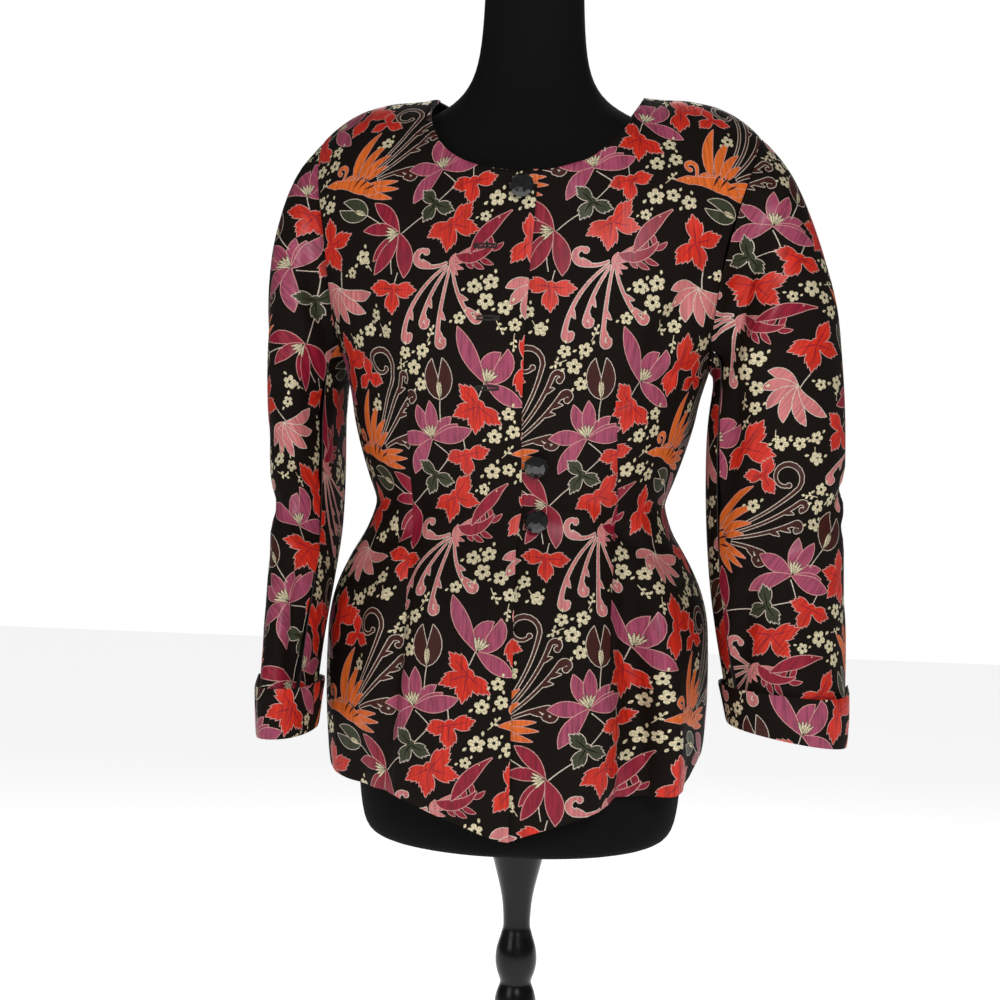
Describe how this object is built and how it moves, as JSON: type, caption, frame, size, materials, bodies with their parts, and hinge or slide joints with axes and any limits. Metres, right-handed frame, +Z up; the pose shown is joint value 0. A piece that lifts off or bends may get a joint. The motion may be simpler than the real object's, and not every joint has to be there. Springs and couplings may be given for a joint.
{
  "type": "brocade jacket on a dress form",
  "caption": "Fitted collarless brocade jacket with padded shoulders, turned-back cuffs and a flared peplum, on a limbless dress form with a turned stand.",
  "frame": {"origin": "middle of the foot's underside, where the stand rests on the floor", "axes": "+Z up along the post, the jacket's front faces -Y, the wearer's left is towards +X"},
  "size_m": [0.5602, 0.36, 1.562],
  "materials": {
    "brocade": "satin motifs on a dull dark ground",
    "button_black": "faceted gloss",
    "form_jersey": "matte knit",
    "stand_lacquer": "black gloss lacquer"
  },
  "bodies": {
    "root": {"front_right": "brocade", "front_left": "brocade", "back": "brocade", "sleeve_right_upper": "brocade", "sleeve_right_under": "brocade", "sleeve_left_upper": "brocade", "sleeve_left_under": "brocade", "cuff_right": "brocade", "cuff_left": "brocade", "button_neck": "button_black", "button_waist": "button_black", "button_hip": "button_black", "form": "form_jersey", "post": "stand_lacquer", "base": "stand_lacquer"}
  },
  "joints": []
}
